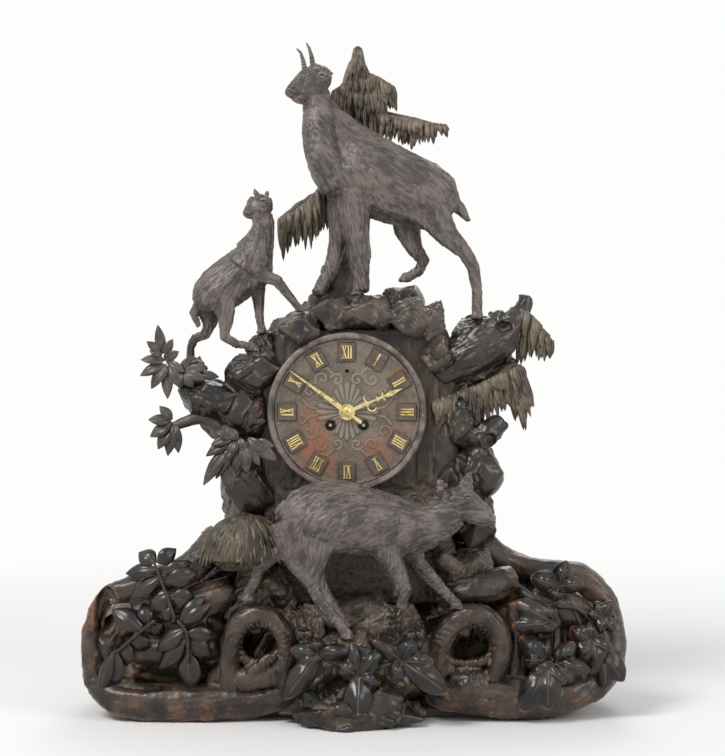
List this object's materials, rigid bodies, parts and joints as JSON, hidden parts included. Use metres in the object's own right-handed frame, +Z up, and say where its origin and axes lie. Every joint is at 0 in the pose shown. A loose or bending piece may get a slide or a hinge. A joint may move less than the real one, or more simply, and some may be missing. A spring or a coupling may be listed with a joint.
{
  "type": "mantel clock",
  "caption": "Carved mantel clock: a rocky tree trunk on curling roots holds a round dial, with a chamois on top, a kid at its shoulder and a chamois in front.",
  "frame": {"origin": "middle of the clock's floor outline, on the floor", "axes": "+Z up, -Y towards the viewer in front of the dial, +X to the viewer's right"},
  "size_m": [0.5636, 0.2414, 0.684],
  "materials": {
    "linden": "dark stained carved linden, waxed",
    "linden_worn": "stained linden worn to orange brown",
    "linden_fur": "stained linden with fine carved strokes",
    "dial_wood": "stippled stained linden",
    "brass": "aged polished brass",
    "steel": "smooth steel",
    "black_steel": "blackened steel",
    "bell_metal": "turned bell metal"
  },
  "bodies": {
    "carved_case": {"base_plank": "linden_worn", "base_mound": "linden", "root_scroll_left": "linden", "root_scroll_right": "linden", "root_loops": "linden", "front_foot_rock": "linden", "ground_rocks": "linden", "trunk_block": "linden", "rocks_top": "linden", "rocks_left": "linden", "rocks_right": "linden", "large_chamois": "linden_fur", "large_chamois_horns": "linden_fur", "kid_chamois": "linden_fur", "lower_chamois": "linden_fur", "leg_dowel": "steel", "fir_tree_top": "linden", "fir_bough_left": "linden", "fir_trees_right": "linden", "oak_branch_left": "linden", "oak_spray_centre": "linden", "leaf_sprays_left": "linden", "ivy_front": "linden", "ivy_right": "linden", "dial_disc": "dial_wood", "dial_bezel": "linden_fur", "numeral_plaques": "dial_wood", "numerals": "brass", "winding_bushes": "black_steel", "front_plate": "brass", "back_plate": "brass", "movement_straps": "brass", "suspension_cock": "brass", "bell": "bell_metal", "door_hinge": "brass"},
    "minute_hand_body": {"minute_hand": "brass", "hand_nut": "brass", "cannon_pinion": "brass"},
    "minute_wheel_body": {"minute_wheel": "brass"},
    "hour_hand_body": {"hour_hand": "brass", "hour_wheel": "brass"},
    "going_barrel_body": {"going_barrel": "brass"},
    "going_arbor_body": {"going_arbor": "steel"},
    "going_click_body": {"going_click": "steel"},
    "going_intermediate_body": {"going_intermediate": "brass"},
    "centre_wheel_body": {"centre_wheel": "brass"},
    "third_wheel_body": {"third_wheel": "brass"},
    "escape_wheel_body": {"escape_wheel": "brass"},
    "anchor_body": {"anchor": "steel"},
    "pendulum_body": {"pendulum": "brass"},
    "strike_barrel_body": {"strike_barrel": "brass"},
    "strike_arbor_body": {"strike_arbor": "steel"},
    "strike_click_body": {"strike_click": "steel"},
    "strike_intermediate_body": {"strike_intermediate": "brass"},
    "pin_wheel_body": {"pin_wheel": "brass"},
    "warning_wheel_body": {"warning_wheel": "brass"},
    "fly_body": {"fly": "brass"},
    "hammer_body": {"hammer": "steel"},
    "rear_door_body": {"rear_door": "linden"},
    "door_button_body": {"door_button": "brass"}
  },
  "joints": [
    {"name": "minute_hand_turn", "type": "hinge", "parent": "carved_case", "child": "minute_hand_body", "pos_m": [-0.0065, 0, 0.305], "axis": [0, 1, 0], "continuous": true},
    {"name": "minute_wheel_turn", "type": "hinge", "parent": "carved_case", "child": "minute_wheel_body", "pos_m": [-0.0065, 0, 0.315], "axis": [0, 1, 0], "continuous": true},
    {"name": "hour_hand_turn", "type": "hinge", "parent": "carved_case", "child": "hour_hand_body", "pos_m": [-0.0065, 0, 0.305], "axis": [0, 1, 0], "continuous": true},
    {"name": "escape_wheel_turn", "type": "hinge", "parent": "carved_case", "child": "escape_wheel_body", "pos_m": [-0.0065, 0, 0.33128], "axis": [0, 1, 0], "continuous": true},
    {"name": "third_wheel_turn", "type": "hinge", "parent": "carved_case", "child": "third_wheel_body", "pos_m": [-0.00413, 0, 0.31844], "axis": [0, 1, 0], "continuous": true},
    {"name": "centre_wheel_turn", "type": "hinge", "parent": "carved_case", "child": "centre_wheel_body", "pos_m": [-0.0065, 0, 0.305], "axis": [0, 1, 0], "continuous": true},
    {"name": "going_intermediate_turn", "type": "hinge", "parent": "carved_case", "child": "going_intermediate_body", "pos_m": [0.00676, 0, 0.30949], "axis": [0, 1, 0], "continuous": true},
    {"name": "going_barrel_turn", "type": "hinge", "parent": "carved_case", "child": "going_barrel_body", "pos_m": [0.0101, 0, 0.2918], "axis": [0, 1, 0], "continuous": true},
    {"name": "going_winding", "type": "hinge", "parent": "carved_case", "child": "going_arbor_body", "pos_m": [0.0101, 0, 0.2918], "axis": [0, 1, 0], "continuous": true},
    {"name": "fly_turn", "type": "hinge", "parent": "carved_case", "child": "fly_body", "pos_m": [-0.02602, 0, 0.33521], "axis": [0, 1, 0], "continuous": true},
    {"name": "warning_wheel_turn", "type": "hinge", "parent": "carved_case", "child": "warning_wheel_body", "pos_m": [-0.01947, 0, 0.32971], "axis": [0, 1, 0], "continuous": true},
    {"name": "pin_wheel_turn", "type": "hinge", "parent": "carved_case", "child": "pin_wheel_body", "pos_m": [-0.02656, 0, 0.32127], "axis": [0, 1, 0], "continuous": true},
    {"name": "strike_intermediate_turn", "type": "hinge", "parent": "carved_case", "child": "strike_intermediate_body", "pos_m": [-0.01976, 0, 0.30949], "axis": [0, 1, 0], "continuous": true},
    {"name": "strike_barrel_turn", "type": "hinge", "parent": "carved_case", "child": "strike_barrel_body", "pos_m": [-0.0231, 0, 0.2918], "axis": [0, 1, 0], "continuous": true},
    {"name": "strike_winding", "type": "hinge", "parent": "carved_case", "child": "strike_arbor_body", "pos_m": [-0.0231, 0, 0.2918], "axis": [0, 1, 0], "continuous": true},
    {"name": "pendulum_swing", "type": "hinge", "parent": "carved_case", "child": "pendulum_body", "pos_m": [-0.0065, 0.035, 0.34286], "axis": [0, 1, 0], "range_deg": [-2.5, 2.5]},
    {"name": "anchor_rock", "type": "hinge", "parent": "carved_case", "child": "anchor_body", "pos_m": [-0.0065, 0, 0.34286], "axis": [0, 1, 0], "range_deg": [-2.5, 2.5]},
    {"name": "hammer_lift", "type": "hinge", "parent": "carved_case", "child": "hammer_body", "pos_m": [-0.0405, 0, 0.309], "axis": [0, 1, 0], "range_deg": [-12, 0]},
    {"name": "going_click_lift", "type": "hinge", "parent": "carved_case", "child": "going_click_body", "pos_m": [0.01747, 0, 0.28664], "axis": [0, 1, 0], "range_deg": [0, 15]},
    {"name": "strike_click_lift", "type": "hinge", "parent": "carved_case", "child": "strike_click_body", "pos_m": [-0.03047, 0, 0.28664], "axis": [0, 1, 0], "range_deg": [-15, 0]},
    {"name": "rear_door_swing", "type": "hinge", "parent": "carved_case", "child": "rear_door_body", "pos_m": [0.0511, 0.0986, 0.25], "axis": [0, 0, 1], "range_deg": [-110, 0]},
    {"name": "door_button_turn", "type": "hinge", "parent": "carved_case", "child": "door_button_body", "pos_m": [-0.0655, 0.1, 0.245], "axis": [0, 1, 0], "range_deg": [0, 90]}
  ],
  "couplings": [
    {"joint": "minute_wheel_turn", "follows": "minute_hand_turn", "ratio": -0.33333},
    {"joint": "hour_hand_turn", "follows": "minute_hand_turn", "ratio": 0.083333},
    {"joint": "third_wheel_turn", "follows": "escape_wheel_turn", "ratio": -0.0875},
    {"joint": "centre_wheel_turn", "follows": "escape_wheel_turn", "ratio": 0.0072917},
    {"joint": "going_intermediate_turn", "follows": "escape_wheel_turn", "ratio": -0.0012153},
    {"joint": "going_barrel_turn", "follows": "escape_wheel_turn", "ratio": 0.00015191},
    {"joint": "warning_wheel_turn", "follows": "fly_turn", "ratio": -0.14},
    {"joint": "pin_wheel_turn", "follows": "fly_turn", "ratio": 0.0175},
    {"joint": "strike_intermediate_turn", "follows": "fly_turn", "ratio": -0.0023333},
    {"joint": "strike_barrel_turn", "follows": "fly_turn", "ratio": 0.00029167},
    {"joint": "anchor_rock", "follows": "pendulum_swing", "ratio": 1}
  ]
}
